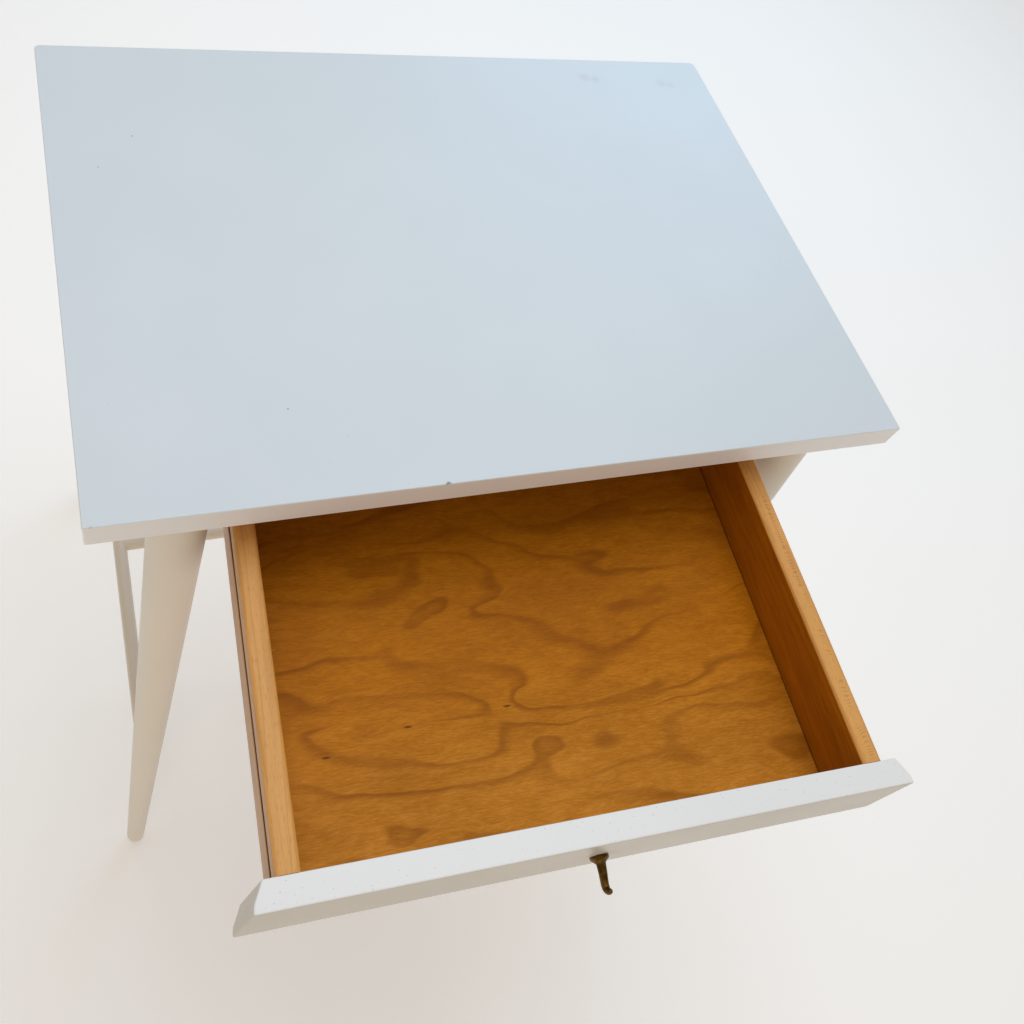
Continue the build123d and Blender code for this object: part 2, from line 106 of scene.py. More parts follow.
# Distance out from the collar, rise and radius along the hook
HOOK_SECTIONS = (
    (0.0, 0.0, 3.2), (4.5, -0.7, 2.9), (9.0, -2.0, 2.7), (12.8, -2.8, 2.6),
    (15.4, -1.9, 2.4), (16.7, 0.2, 2.2), (17.0, 1.9, 1.9),
)

# ---------------------------------------------------------------- node materials

class Shader:
    """One node material.  Sizes are in metres, and textures follow the piece's own coordinates."""

    def __init__(self, name):
        self.material = bpy.data.materials.new(name)
        self.material.use_nodes = True
        self.tree = self.material.node_tree
        self.surface = self.tree.nodes["Principled BSDF"]
        self.place = self.node("ShaderNodeTexCoord").outputs["Object"]

    def node(self, kind, **settings):
        made = self.tree.nodes.new(kind)
        for key, value in settings.items():
            setattr(made, key, value)
        return made

    def feed(self, socket, value):
        """Links a socket, or sets a plain value."""
        if isinstance(value, bpy.types.NodeSocket):
            self.tree.links.new(value, socket)
        else:
            socket.default_value = value

    def math(self, operation, *values):
        made = self.node("ShaderNodeMath", operation=operation)
        for socket, value in zip(made.inputs, values):
            self.feed(socket, value)
        return made.outputs[0]

    def times(self, first, second):
        return self.math("MULTIPLY", first, second)

    def plus(self, first, second):
        return self.math("ADD", first, second)

    def minus(self, first, second):
        return self.math("SUBTRACT", first, second)

    def vector(self, operation, first, second):
        made = self.node("ShaderNodeVectorMath", operation=operation)
        self.feed(made.inputs[0], first)
        self.feed(made.inputs[1], second)
        return made.outputs[0]

    def axes(self, value):
        """The X, Y and Z of a vector."""
        made = self.node("ShaderNodeSeparateXYZ")
        self.feed(made.inputs[0], value)
        return made.outputs

    def joined(self, x, y, z):
        made = self.node("ShaderNodeCombineXYZ")
        for socket, value in zip(made.inputs, (x, y, z)):
            self.feed(socket, value)
        return made.outputs[0]

    def turned(self, place, angle, about):
        """Coordinates turned about an upright line, as the drawer is."""
        made = self.node("ShaderNodeVectorRotate", rotation_type="Z_AXIS")
        self.feed(made.inputs["Vector"], place)
        made.inputs["Center"].default_value = about
        made.inputs["Angle"].default_value = angle
        return made.outputs[0]

    def scaled(self, place, size):
        """Coordinates counted in sizes: one length, or one for each axis."""
        lengths = size if isinstance(size, tuple) else (size,) * 3
        return self.vector("MULTIPLY", place, [1 / length for length in lengths])

    def noise(self, place, size, detail=2.0, roughness=0.5, distortion=0.0):
        """Noise from 0 to 1 whose features are about size long."""
        made = self.node("ShaderNodeTexNoise")
        self.feed(made.inputs["Vector"], self.scaled(place, size))
        for key, value in (
            ("Scale", 1.0), ("Detail", detail), ("Roughness", roughness), ("Distortion", distortion),
        ):
            made.inputs[key].default_value = value
        return made.outputs["Fac"]

    def cells(self, place, size, **settings):
        """Distance to the nearest of scattered points, and a random number for each point."""
        made = self.node("ShaderNodeTexVoronoi", **settings)
        self.feed(made.inputs["Vector"], self.scaled(place, size))
        made.inputs["Scale"].default_value = 1.0
        return made.outputs["Distance"], self.axes(made.outputs["Color"])[0]

    def range(self, value, low, high, to_low=0.0, to_high=1.0, smooth=False):
        made = self.node("ShaderNodeMapRange")
        if smooth:
            made.interpolation_type = "SMOOTHSTEP"
        for key, number in (
            ("Value", value), ("From Min", low), ("From Max", high),
            ("To Min", to_low), ("To Max", to_high),
        ):
            self.feed(made.inputs[key], number)
        return made.outputs[0]

    def mix(self, share, first, second, blend="MIX"):
        """Two colours mixed.  The share is the second's."""
        made = self.node("ShaderNodeMix", data_type="RGBA", blend_type=blend)
        self.feed(made.inputs[0], share)
        for socket, value in ((made.inputs[6], first), (made.inputs[7], second)):
            self.feed(socket, value if isinstance(value, bpy.types.NodeSocket) else (*value, 1.0))
        return made.outputs[2]

    def ramp(self, value, stops):
        """Colour along a scale from 0 to 1."""
        made = self.node("ShaderNodeValToRGB")
        self.feed(made.inputs[0], value)
        points = made.color_ramp.elements
        while len(points) < len(stops):
            points.new(0.5)
        for point, (place, colour) in zip(points, stops):
            point.position = place
            point.color = (*colour, 1.0)
        return made.outputs[0]

    def finish(self, colour, roughness, height=None, depth=0.0, **sockets):
        """Sets the surface.  The height is 0 to 1, and depth is how far 1 stands out."""
        self.feed(self.surface.inputs["Base Color"], colour)
        self.feed(self.surface.inputs["Roughness"], roughness)
        if height is not None:
            bump = self.node("ShaderNodeBump")
            bump.inputs["Distance"].default_value = depth
            bump.inputs["Strength"].default_value = 1.0
            self.feed(bump.inputs["Height"], height)
            self.feed(self.surface.inputs["Normal"], bump.outputs[0])
        for name, value in sockets.items():
            self.surface.inputs[name.replace("_", " ")].default_value = value
        return self.material


# ---------------------------------------------------------------- surfaces

def near(s, centre, spread, wobble=0.5):
    """1 at a point, fading to 0 at a ragged distance."""
    apart = s.node("ShaderNodeVectorMath", operation="DISTANCE")
    s.feed(apart.inputs[0], s.place)
    apart.inputs[1].default_value = centre
    ragged = s.noise(s.place, 0.6 * spread, detail=3.0)
    reach = s.plus(apart.outputs["Value"], s.times(ragged, wobble * spread))
    return s.range(reach, 0.35 * spread, (0.85 + wobble) * spread, 1.0, 0.0, smooth=True)


def facing_up(s, low=0.35, high=0.85):
    """1 on level faces, 0 on upright ones."""
    normal = s.node("ShaderNodeNewGeometry").outputs["Normal"]
    return s.range(s.axes(normal)[2], low, high, smooth=True)


def paint(name, tint, upright_painted_light, marks=(), speck_share=0.02):
    """White satin lacquer, yellower on its upright faces as painted light and shade: faint orange peel,
    cloudiness, specks and marks.
    """
    s = Shader(name)
    cloud = s.noise(s.place, 120 * MM, detail=3.0)
    # Painted light and shade: level faces take the tint, upright faces the second tint, lighter or darker for how
    # light falls on them.
    base = s.mix(facing_up(s), upright_painted_light, tint)
    colour = s.mix(cloud, base, (0.93, 0.94, 0.95), "MULTIPLY")
    distance, pick = s.cells(s.place, 4.2 * MM, voronoi_dimensions="2D")
    speck_size = s.range(pick, 1 - speck_share, 1.0, 0.0, 0.115)
    speck = s.range(s.minus(speck_size, distance), 0.0, 0.03)
    speck = s.times(speck, facing_up(s))
    colour = s.mix(s.times(speck, 0.30), colour, (0.20, 0.17, 0.13))
    for centre, spread, strength, stain in marks:
        colour = s.mix(s.times(near(s, centre, spread), strength), colour, stain)
    peel = s.noise(s.place, 2.6 * MM, detail=2.0)
    drag = s.noise(s.place, (34 * MM, 1.4 * MM, 1.4 * MM), detail=1.0)
    height = s.plus(peel, s.times(drag, 0.4))
    roughness = s.range(cloud, 0.3, 0.7, 0.33, 0.40)
    return s.finish(colour, roughness, height, 0.035 * MM, Specular_IOR_Level=0.5)


def growth_lines(s, rings, start, crest):
    """1 on the dark late wood of each growth ring, which darkens slowly and ends quickly."""
    phase = s.math("FRACT", rings)
    rise = s.range(phase, start, crest, smooth=True)
    fall = s.range(phase, crest, 1.0, 1.0, 0.0, smooth=True)
    return s.times(rise, fall)


def off_middle(s, place):
    """Distance from the middle line of the drawer's box, in the drawer's own axes."""
    return s.math("ABSOLUTE", s.minus(s.axes(place)[0], PEG.x + BOX_OFFSET * MM))


def dash(s, place, x, y):
    """1 inside a short dark dash along X.  The drawer's own axes put its middle at x, y."""
    offset = s.axes(s.vector("SUBTRACT", place, (PEG.x + x * MM, PEG.y + y * MM, 0.0)))
    reach = s.node("ShaderNodeVectorMath", operation="LENGTH")
    s.feed(reach.inputs[0], s.joined(
        s.times(offset[0], 1 / DASH_HALF_LENGTH), s.times(offset[1], 1 / DASH_HALF_WIDTH), 0.0,
    ))
    return s.range(reach.outputs["Value"], 0.5, 1.1, 1.0, 0.0)


def plywood(name, marks):
    """Rotary-cut face veneer under clear varnish: wandering growth lines, short fibres and streaks, and a painted
    sheen at the front.

    A dark line lies along each side, where the board enters its groove.
    """
    s = Shader(name)
    place = s.turned(s.place, DRAWER_SKEW, PEG)
    across, along, up = s.axes(place)
    ripple = s.noise(place, (34 * MM, 15 * MM, 1.0), detail=0.5)
    bent = s.joined(across, s.plus(along, s.times(ripple, 17 * MM)), up)
    wander = s.noise(bent, (140 * MM, 60 * MM, 1.0), detail=1.0, roughness=0.4, distortion=0.6)
    rings = s.plus(s.times(along, 1 / (42 * MM)), s.times(wander, 5.0))
    strength = s.range(s.noise(place, 55 * MM, detail=1.0), 0.32, 0.66, 0.25, 1.0)
    dark = s.times(growth_lines(s, rings, 0.60, 0.88), strength)
    swayed = s.joined(across, s.plus(along, s.times(ripple, 7 * MM)), up)
    fibre = s.noise(swayed, (6 * MM, 0.8 * MM, 1.0), detail=3.0, roughness=0.65)
    shimmer = s.noise(swayed, (20 * MM, 5 * MM, 1.0), detail=2.0, roughness=0.5)
    tone = s.plus(s.times(fibre, 0.70), s.times(shimmer, 0.30))
    colour = s.ramp(tone, (
        (0.36, (0.45, 0.143, 0.003)), (0.50, (0.53, 0.178, 0.005)), (0.64, (0.62, 0.222, 0.010)),
    ))
    patch = s.noise(place, (95 * MM, 50 * MM, 1.0), detail=2.0)
    colour = s.mix(s.range(patch, 0.35, 0.65), colour, (0.86, 0.83, 0.75), "MULTIPLY")
    # Painted light: the front of the board is lightened and made less orange, a painted sheen and brighter light
    # that fades out towards the back.
    painted_sheen_fade = s.range(along, PEG.y - 0.345, PEG.y - 0.205, smooth=True)
    colour = s.mix(s.minus(1.0, painted_sheen_fade), colour, (1.20, 1.36, 4.4), "MULTIPLY")
    colour = s.mix(s.times(dark, 0.58), colour, (0.24, 0.060, 0.001))
    distance, pick = s.cells(place, (60 * MM, 22 * MM, 1.0))
    streak = s.range(s.plus(distance, s.times(fibre, 0.10)), 0.05, 0.11, 1.0, 0.0)
    streak = s.times(streak, s.math("GREATER_THAN", pick, 0.86))
    colour = s.mix(s.times(streak, 0.40), colour, (0.14, 0.034, 0.002))
    for x, y in marks:
        colour = s.mix(s.times(dash(s, place, x, y), 0.8), colour, (0.09, 0.022, 0.002))
    side_face = (BOX_HALF_WIDTH - SIDE_THICKNESS) * MM
    at_side = s.range(off_middle(s, place), side_face - 1.3 * MM, side_face - 0.5 * MM)
    colour = s.mix(s.times(at_side, 0.75), colour, (0.07, 0.014, 0.001))
    roughness = s.range(fibre, 0.3, 0.7, 0.42, 0.52)
    return s.finish(colour, roughness, fibre, 0.02 * MM, Specular_IOR_Level=0.07)


def in_runner_groove(s, place):
    """1 inside the groove in a drawer side's outer face."""
    height_up = s.axes(place)[2]
    groove_top = (DRAWER_TOP - SIDE_GROOVE_TOP + 0.3) * MM
    groove_foot = (DRAWER_TOP - SIDE_GROOVE_TOP - SIDE_GROOVE_HEIGHT - 0.3) * MM
    below_top = s.math("LESS_THAN", height_up, groove_top)
    above_foot = s.math("GREATER_THAN", height_up, groove_foot)
    under_skin = s.math("LESS_THAN", off_middle(s, place), (BOX_HALF_WIDTH - 0.6) * MM)
    return s.times(s.times(below_top, above_foot), under_skin)


def planing_ripples(s, place):
    """1 on the short ripples across the right side's top edge."""
    from_line = s.math("ABSOLUTE", s.minus(s.axes(place)[0], PEG.x + RIPPLE_X * MM))
    on_line = s.range(from_line, 1.0 * MM, 3.0 * MM, 1.0, 0.0)
    jitter = s.noise(place, 9 * MM, detail=0.0)
    beat = s.plus(s.times(s.axes(place)[1], 1 / RIPPLE_PITCH), s.times(jitter, 3.0))
    ripple = s.range(s.math("FRACT", beat), 0.55, 0.85)
    gate = s.range(s.noise(place, 16 * MM, detail=1.0), 0.42, 0.56)
    return s.times(s.times(ripple, gate), s.times(on_line, facing_up(s)))


def straight_wood(
    name, pale, deep, line, worn_and_lit, skewed=True, grain_axis=1, gloss=0.4, specular=0.4, bare=None,
):
    """Sawn wood with long grain along one axis, cathedral bends, and a paler top, partly hand wear and partly
    painted light, with a painted highlight over the eased arrises.

    With bare set, the faces outside the drawer's box are that colour, as they were never varnished.
    """
    s = Shader(name)
    place = s.turned(s.place, DRAWER_SKEW, PEG) if skewed else s.place

    def stretched(across, along):
        size = [across * MM] * 3
        size[grain_axis] = along * MM
        return tuple(size)

    bend = s.noise(place, stretched(13.0, 300.0), detail=1.5)
    dark = growth_lines(s, s.times(bend, 7.0), 0.5, 0.94)
    fibre = s.noise(place, stretched(0.8, 26.0), detail=3.0, roughness=0.6)
    pores = s.range(s.noise(place, stretched(0.45, 6.0), detail=1.0), 0.62, 0.70)
    cloud = s.noise(place, stretched(22.0, 120.0), detail=2.0)
    tone = s.plus(s.times(fibre, 0.6), s.times(cloud, 0.4))
    top_face = facing_up(s, 0.15, 0.55)
    colour = s.mix(s.range(tone, 0.3, 0.7), deep, pale)
    if bare:
        bare_from = (BOX_HALF_WIDTH - SIDE_THICKNESS + 3.0) * MM
        outside = s.range(off_middle(s, place), bare_from, bare_from + 1.0 * MM)
        colour = s.mix(outside, colour, bare)
    # Partly painted light: faces that look up, and the roundings beside them, take the paler colour, for hand wear
    # and for the light and highlight they catch.
    colour = s.mix(s.times(top_face, 0.88), colour, worn_and_lit)
    if bare:
        # Painted shade: the inside of the runner groove is darkened nearly to black brown, for the shadow in the
        # recess.
        painted_groove_shade = s.times(in_runner_groove(s, place), outside)
        colour = s.mix(s.times(painted_groove_shade, 0.85), colour, (0.07, 0.024, 0.006))
        colour = s.mix(s.times(planing_ripples(s, place), 0.30), colour, line)
    shade = s.mix(s.range(tone, 0.35, 0.65), (0.86, 0.84, 0.80), (1.0, 1.0, 1.0))
    colour = s.mix(1.0, colour, shade, "MULTIPLY")
    colour = s.mix(s.times(dark, s.range(top_face, 0.0, 1.0, 0.22, 0.16)), colour, line)
    colour = s.mix(s.times(pores, 0.22), colour, line)
    height = s.minus(fibre, s.times(pores, 0.7))
    return s.finish(colour, gloss, height, 0.04 * MM, Specular_IOR_Level=specular)


def metal(name, colour_low, colour_high, roughness_low, roughness_high, size):
    """Handled metal: uneven tone and fine pitting."""
    s = Shader(name)
    patches = s.noise(s.place, size, detail=4.0, roughness=0.6)
    share = s.range(patches, 0.42, 0.66)
    colour = s.mix(share, colour_low, colour_high)
    roughness = s.range(patches, 0.35, 0.65, roughness_high, roughness_low)
    pits = s.noise(s.place, 0.35 * MM, detail=2.0)
    return s.finish(colour, roughness, pits, 0.02 * MM, Metallic=1.0)


def on_top(from_left, from_front):
    """Point on the top, by its distances in millimetres from the front left corner."""
    return (top_low.x + from_left * MM, top_low.y + from_front * MM, top_high.z)


top_low, top_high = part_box("table_top")
SOOT = (0.10, 0.085, 0.07)
SMUDGE = (0.50, 0.51, 0.52)
TOP_MARKS = (
    (on_top(63.7, 334.8), 0.9 * MM, 0.75, SOOT),
    (on_top(36.1, 301.5), 0.8 * MM, 0.70, SOOT),
    (on_top(135.6, 71.4), 0.9 * MM, 0.75, SOOT),
    (on_top(480.0, 414.5), 8.0 * MM, 0.28, SMUDGE),
    (on_top(491.0, 412.5), 7.0 * MM, 0.24, SMUDGE),
    (on_top(560.0, 408.0), 8.0 * MM, 0.26, SMUDGE),
    (on_top(570.0, 406.0), 6.0 * MM, 0.20, SMUDGE),
    (on_top(230.2, 0.3), 2.3 * MM, 0.95, (0.12, 0.10, 0.075)),
    (on_top(5.0, 0.4), 1.4 * MM, 0.40, (0.30, 0.24, 0.18)),
)
# Planing ripples along the right side's top edge, from the peg's line
RIPPLE_X = 196.5
RIPPLE_PITCH = 2.8 * MM
# Dark dashes in the drawer bottom, in the drawer's own axes
PLYWOOD_DASHES = ((-31.6, -256.3), (-103.4, -260.3), (-160.5, -272.2))
DASH_HALF_LENGTH = 3.4 * MM
DASH_HALF_WIDTH = 0.9 * MM

finishes = {
    # Painted light: the top's level tint is bluer, partly a painted sky reflection, and its edges are lighter and
    # warmer, painted bounce light.
    "top_paint": paint("top_paint", (0.72, 0.775, 0.815), (0.93, 0.905, 0.885), TOP_MARKS, 0.002),
    # Painted shade: the drawer front's upright faces are darker and warmer than its top, for the shade they stand
    # in.
    "front_paint": paint("front_paint", (0.95, 0.94, 0.925), (0.63, 0.57, 0.48), (), 0.50),
    # Partly painted light: the legs' tint is warmer, partly for the warm bounce light on them.
    "leg_paint": paint("leg_paint", (0.81, 0.715, 0.58), (0.81, 0.715, 0.58)),
    "frame_wood": straight_wood(
        "frame_wood", (0.52, 0.33, 0.16), (0.36, 0.20, 0.09), (0.20, 0.09, 0.03),
        (0.48, 0.30, 0.15), skewed=False, grain_axis=0, gloss=0.6,
    ),
    "rail_wood": straight_wood(
        "rail_wood", (0.50, 0.31, 0.15), (0.35, 0.19, 0.08), (0.20, 0.09, 0.03),
        (0.46, 0.28, 0.14), skewed=False, gloss=0.6,
    ),
    "back_wood": straight_wood(
        "back_wood", (0.58, 0.28, 0.075), (0.42, 0.175, 0.035), (0.20, 0.065, 0.010),
        (0.80, 0.42, 0.14), grain_axis=0, specular=0.28,
    ),
    "runner_wood": straight_wood(
        "runner_wood", (0.58, 0.38, 0.19), (0.42, 0.24, 0.10), (0.24, 0.11, 0.04),
        (0.55, 0.36, 0.18), skewed=False, gloss=0.5,
    ),
    "drawer_wood": straight_wood(
        "drawer_wood", (0.55, 0.182, 0.005), (0.39, 0.110, 0.002), (0.18, 0.040, 0.001),
        (0.86, 0.425, 0.115), specular=0.28, bare=(0.60, 0.33, 0.15),
    ),
    "plywood": plywood("plywood", PLYWOOD_DASHES),
    "dowel_wood": straight_wood(
        "dowel_wood", (0.62, 0.44, 0.25), (0.48, 0.31, 0.15), (0.30, 0.16, 0.07),
        (0.60, 0.42, 0.24), grain_axis=2, gloss=0.6,
    ),
    "aged_brass": metal("aged_brass", (0.085, 0.042, 0.007), (0.24, 0.135, 0.034), 0.34, 0.50, 6 * MM),
    "screw_steel": metal("screw_steel", (0.42, 0.41, 0.38), (0.62, 0.60, 0.56), 0.30, 0.45, 3 * MM),
    "glide_steel": metal("glide_steel", (0.50, 0.50, 0.49), (0.68, 0.67, 0.65), 0.20, 0.35, 5 * MM),
}
# The rails' and the drawer back's grain runs along each board
own_grain = {"rail_left": "rail_wood", "rail_right": "rail_wood", "drawer_back": "back_wood"}
slot_of = {part["node"]: part["material_slot"] for part in frame["record"]["subparts"]}
for name, piece in frame["nodes"].items():
    piece.data.materials.clear()
    piece.data.materials.append(finishes[own_grain.get(name, slot_of[name])])


# ---------------------------------------------------------------- shapes

CORNER_STEPS = 5
ARRIS_STEPS = 4


def moved_in(corners, inset):
    """Corners of a polygon, anticlockwise, with every side moved in by the same distance."""
    moved = []
    for index, here in enumerate(corners):
        before = (here - corners[index - 1]).normalized()
        after = (corners[(index + 1) % len(corners)] - here).normalized()
        before_in = Vector((-before.y, before.x))
        after_in = Vector((-after.y, after.x))
        moved.append(here + (before_in + after_in) * (inset / (1 + before_in.dot(after_in))))
    return moved


def eased(corners, radii, steps=CORNER_STEPS):
    """Points round a polygon with each corner rounded to its own radius."""
    points = []
    for index, (here, radius) in enumerate(zip(corners, radii)):
        back = (corners[index - 1] - here).normalized()
        ahead = (corners[(index + 1) % len(corners)] - here).normalized()
        half_angle = back.angle(ahead) / 2
        run = radius / math.tan(half_angle)
        centre = here + (back + ahead).normalized() * (radius / math.sin(half_angle))
        start = here + back * run - centre
        end = here + ahead * run - centre
        for step in range(steps + 1):
            points.append(centre + start.lerp(end, step / steps).normalized() * radius)
    return points


def skin(loops):
    """Points and faces joining a row of equal loops, closed at both ends."""
    count = len(loops[0])
    points = [point for loop in loops for point in loop]
    faces = []
    for row in range(len(loops) - 1):
        for step in range(count):
            here = row * count + step
            after = row * count + (step + 1) % count
            faces.append((here, after, after + count, here + count))
    faces.append(tuple(reversed(range(count))))
    faces.append(tuple(range(len(points) - count, len(points))))
    return points, faces


def round_loops(stations, steps=48):
    """Circles along a path.  A station is a centre, two directions square to the path, and a radius."""
    loops = []
    for centre, first, second, radius in stations:
        angles = [math.tau * step / steps for step in range(steps)]
        loops.append(
            [centre + (first * math.cos(angle) + second * math.sin(angle)) * radius for angle in angles]
        )
    return loops


def turned_loops(start, heading, profile, steps=48):
    """Circles of a turned shape.  The profile gives distances along its axis and radii."""
    first = heading.orthogonal().normalized()
    second = heading.cross(first)
    return round_loops(
        [(start + heading * distance, first, second, radius) for distance, radius in profile], steps
    )


def arris(low, high, radius, steps=ARRIS_STEPS):
    """Heights and insets up an edge with both arrises eased."""
    angles = [math.pi / 2 * step / steps for step in range(steps + 1)]
    foot = [(low + radius[0] * (1 - math.sin(a)), radius[0] * (1 - math.cos(a))) for a in angles]
    head = [(high - radius[1] * (1 - math.sin(a)), radius[1] * (1 - math.cos(a))) for a in angles]
    return foot[::-1] + head


TABLE_PLACE = Matrix.Translation((0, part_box("table_top")[0].y, 0)) @ Matrix.Scale(MM, 4)
DRAWER_PLACE = (
    Matrix.Translation((PEG.x, PEG.y, 0)) @ Matrix.Rotation(-DRAWER_SKEW, 4, "Z") @ Matrix.Scale(MM, 4)
)


def add_piece(name, loops, place, body, slot, sharp=35, flat_faces=False):
    """Makes one visual piece from loops in millimetres.  It stands in for the CAD node of that name."""
    points, faces = skin(loops)
    mesh = bpy.data.meshes.new(name + "_finished")
    mesh.from_pydata([place @ point for point in points], [], faces)
    mesh.shade_smooth()
    mesh.set_sharp_from_angle(angle=math.radians(sharp))
    made = bpy.data.objects.new(name + "_finished", mesh)
    bpy.context.scene.collection.objects.link(made)
    if flat_faces:
        weighted = made.modifiers.new("flat_faces_stay_flat", "WEIGHTED_NORMAL")
        weighted.keep_sharp = True
    mesh.materials.append(finishes[slot])
    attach(made, body)
    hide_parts(name)


# ---------------------------------------------------------------- table top

CHIP_FROM_LEFT = 230.2
CHIP_HALF_WIDTH = 2.6
CHIP_DEPTH = 1.8
CHIP_STEPS = 12


def top_loops():
    """Loops up the board's edge, with a chip knocked out of its front arris."""
    half = (top_high.x - top_low.x) / MM / 2
    depth = (top_high.y - top_low.y) / MM
    corners = [Vector(c) for c in ((-half, 0), (half, 0), (half, depth), (-half, depth))]
    radii = (FRONT_CORNER_RADIUS, FRONT_CORNER_RADIUS, BACK_CORNER_RADIUS, BACK_CORNER_RADIUS)
    chip_x = CHIP_FROM_LEFT - half
    levels = arris(UNDERSIDE, TABLE_HEIGHT, (FOOT_ARRIS, TOP_ARRIS))
    chip_foot = TABLE_HEIGHT - CHIP_DEPTH
    levels.insert(ARRIS_STEPS + 1, (chip_foot, 0.0))
    first_corner = CORNER_STEPS + 1
    loops = []
    for height, inset in levels:
        outline = eased(moved_in(corners, inset), [radius - inset for radius in radii])
        loop = [Vector((point.x, point.y, height)) for point in outline]
        rise = max(0.0, (height - chip_foot) / CHIP_DEPTH)
        dent = []
        for step in range(CHIP_STEPS + 1):
            across = 2 * step / CHIP_STEPS - 1
            bite = (1 - across * across) * (0.8 + 0.2 * math.sin(5.0 * across + 1.0))
            dent.append(Vector((
                chip_x + across * CHIP_HALF_WIDTH, inset + CHIP_DEPTH * bite * rise ** 0.6, height,
            )))
        loops.append(loop[:first_corner] + dent + loop[first_corner:])
    return loops


# ---------------------------------------------------------------- legs and stretchers

LEG_RINGS = 12
LEG_RING_SPACING = 50.0
DOME_RADIUS = (GLIDE_RADIUS ** 2 + GLIDE_HEIGHT ** 2) / (2 * GLIDE_HEIGHT)


def leg_point(side, end, height):
    """Point on a leg's axis.  side is -1 left or 1 right, end is -1 front or 1 back."""
    rise = height / UNDERSIDE
    inset_x, inset_y = [low + rise * (high - low) for low, high in zip(LEG_FOOT_INSET, LEG_TOP_INSET)]
    half = (top_high.x - top_low.x) / MM / 2
    depth = (top_high.y - top_low.y) / MM
    return Vector((side * (half - inset_x), inset_y if end < 0 else depth - inset_y, height))


def leg_loops(side, end):
    """Tapered turning with a rounded foot, cut level under its batten, with a tenon above."""
    start = leg_point(side, end, DOME_RADIUS)
    heading = (leg_point(side, end, UNDERSIDE) - start).normalized()
    foot = GLIDE_HEIGHT - DOME_RADIUS
    head = Vector((
        UNDERSIDE, LEG_TOP_INSET[0] - LEG_FOOT_INSET[0], LEG_TOP_INSET[1] - LEG_FOOT_INSET[1],
    )).length
    taper = (LEG_TOP_RADIUS - LEG_FOOT_RADIUS) / (head - foot)
    profile = []
    for step in range(7):
        angle = math.pi / 2 * step / 6
        profile.append((
            foot + LEG_FOOT_ROUNDING * (1 - math.cos(angle)),
            LEG_FOOT_RADIUS - LEG_FOOT_ROUNDING * (1 - math.sin(angle)),
        ))
    for step in range(1, LEG_RINGS + 1):
        distance = foot + LEG_RING_SPACING * step
        profile.append((distance, LEG_FOOT_RADIUS + taper * (distance - foot)))
    loops = turned_loops(start, heading, profile, steps=64)
    below, last = loops[-2], loops[-1]
    shoulder = []
    for lower, upper in zip(below, last):
        slope = upper - lower
        shoulder.append(upper + slope * ((BATTEN_FOOT - upper.z) / slope.z))
    loops.append(shoulder)
    for height in (BATTEN_FOOT, BATTEN_FOOT + LEG_TENON_LENGTH):
        tenon = turned_loops(leg_point(side, end, height), heading, [(0.0, LEG_TENON_RADIUS)], steps=64)[0]
        loops.append([point + heading * ((height - point.z) / heading.z) for point in tenon])
    return loops


def stretcher_loops(name, axis):
    """Round bar along X or Y, a touch slimmer towards its ends, over the length of its CAD node."""
    low, high = [TABLE_PLACE.inverted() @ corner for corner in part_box(name)]
    middle = (low + high) / 2
    start = middle.copy()
    start[axis] = low[axis]
    heading = Vector((0, 0, 0))
    heading[axis] = 1.0
    length = high[axis] - low[axis]
    profile = []
    for step in range(25):
        share = step / 24
        bulge = 1 - (2 * share - 1) ** 6
        profile.append((length * share, STRETCHER_RADIUS - 0.25 + 0.2 * bulge))
    return turned_loops(start, heading, profile)


# ---------------------------------------------------------------- drawer

def drawer_front_loops():
    """Front board: ends that lean out towards the floor and are eased back behind the face."""
    loops = []
    for height, inset in arris(DRAWER_TOP - FRONT_HEIGHT, DRAWER_TOP, (1.0, 1.1)):
        lean = FRONT_END_SPLAY * (DRAWER_TOP - height) / FRONT_HEIGHT
        half_face = FRONT_HALF_LENGTH + lean
        half_back = FRONT_HALF_LENGTH_BACK + lean
        knee = (half_face - 0.4, FACE_Y + FRONT_END_FLAT)
        right = [(half_face, FACE_Y), knee, (half_back, FRONT_BACK_Y)]
        left = [(-x, y) for x, y in reversed(right)]
        corners = moved_in([Vector(corner) for corner in right + left], inset)
        radii = [1.3, FRONT_KNEE_RADIUS, 1.2, 1.2, FRONT_KNEE_RADIUS, 1.3]
        outline = eased(corners, [radius - inset for radius in radii])
        loops.append([Vector((point.x, point.y, height)) for point in outline])
    return loops


